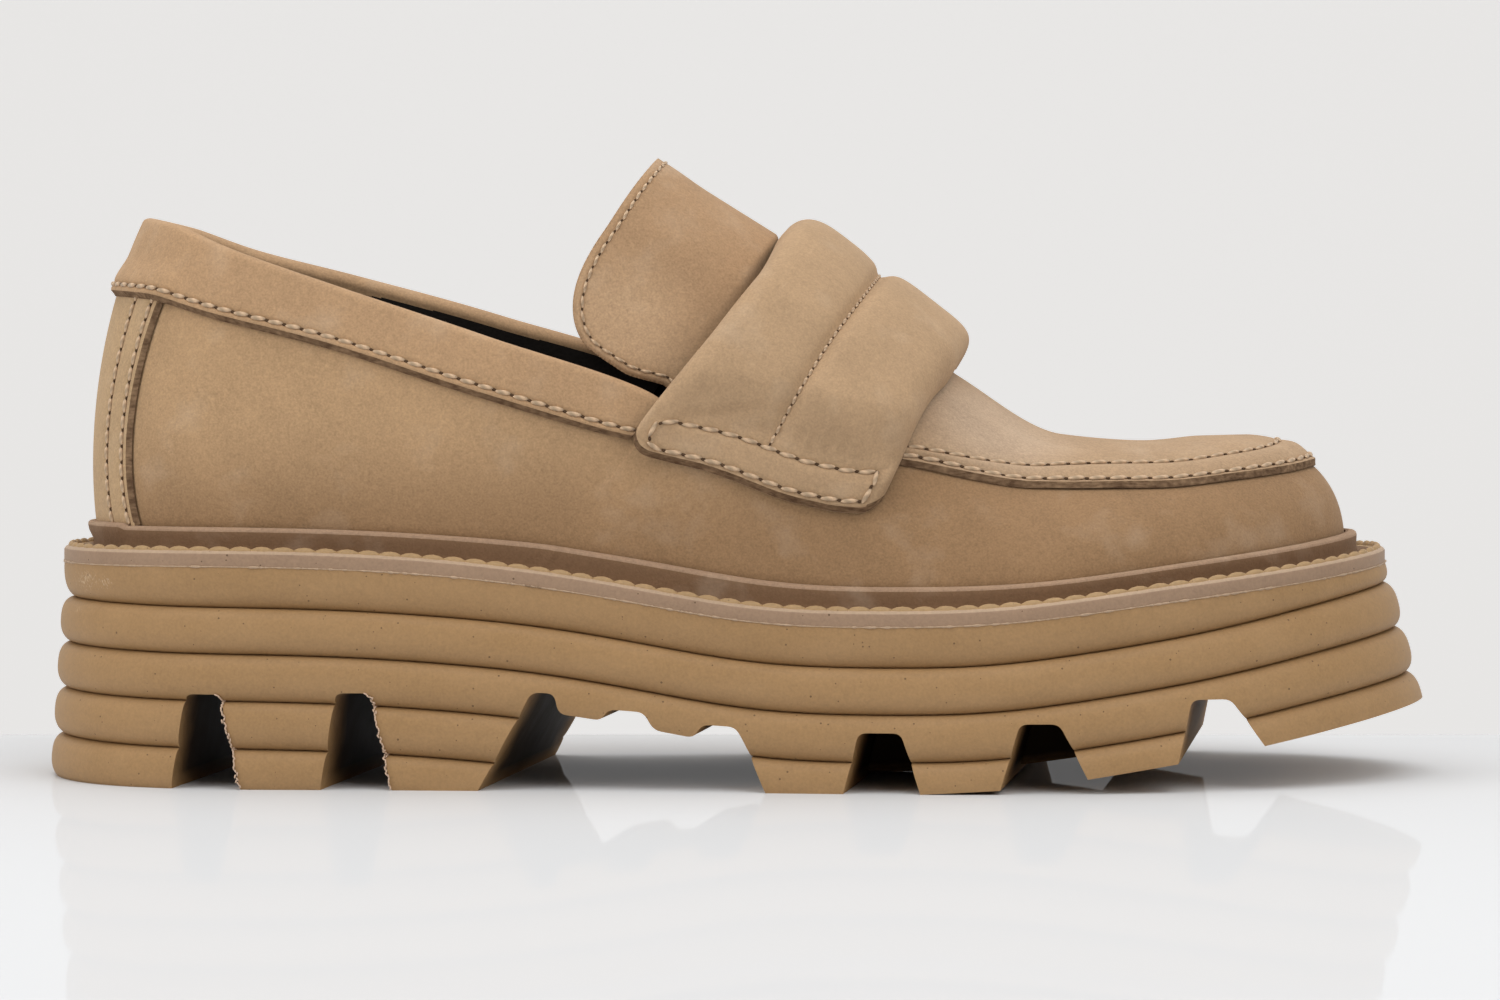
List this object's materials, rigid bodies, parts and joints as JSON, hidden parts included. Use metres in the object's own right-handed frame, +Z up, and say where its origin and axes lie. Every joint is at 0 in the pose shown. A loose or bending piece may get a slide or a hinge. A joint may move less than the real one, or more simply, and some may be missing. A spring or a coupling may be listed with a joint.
{
  "type": "slip-on shoe",
  "caption": "Right slip-on shoe with a padded saddle strap, moc-toe apron, tongue and folded collar on a thick ribbed platform sole with a beaded welt and deep lugs.",
  "frame": {"origin": "centre of the bounding box in plan, on the floor under the tread", "axes": "+X from heel to toe, +Y to the inner (medial) side, +Z up from the floor"},
  "size_m": [0.2791, 0.1051, 0.1248],
  "materials": {
    "outsole": "matte moulded rubber with fine pits",
    "welt": "matte moulded rubber, wheeled bead",
    "upper": "soft matte nubuck",
    "apron": "soft matte nubuck, raw cut edge",
    "collar_band": "soft matte nubuck, folded",
    "heel_strip": "soft matte nubuck, raw cut edges",
    "saddle_strap": "soft matte nubuck over padding",
    "tongue": "soft matte nubuck, dark lining below",
    "insole": "dark matte textile"
  },
  "bodies": {
    "root": {"outsole": "outsole", "welt": "welt", "upper": "upper", "apron": "apron", "collar_band": "collar_band", "heel_strip": "heel_strip", "saddle_strap": "saddle_strap", "tongue": "tongue", "insole": "insole"}
  },
  "joints": []
}
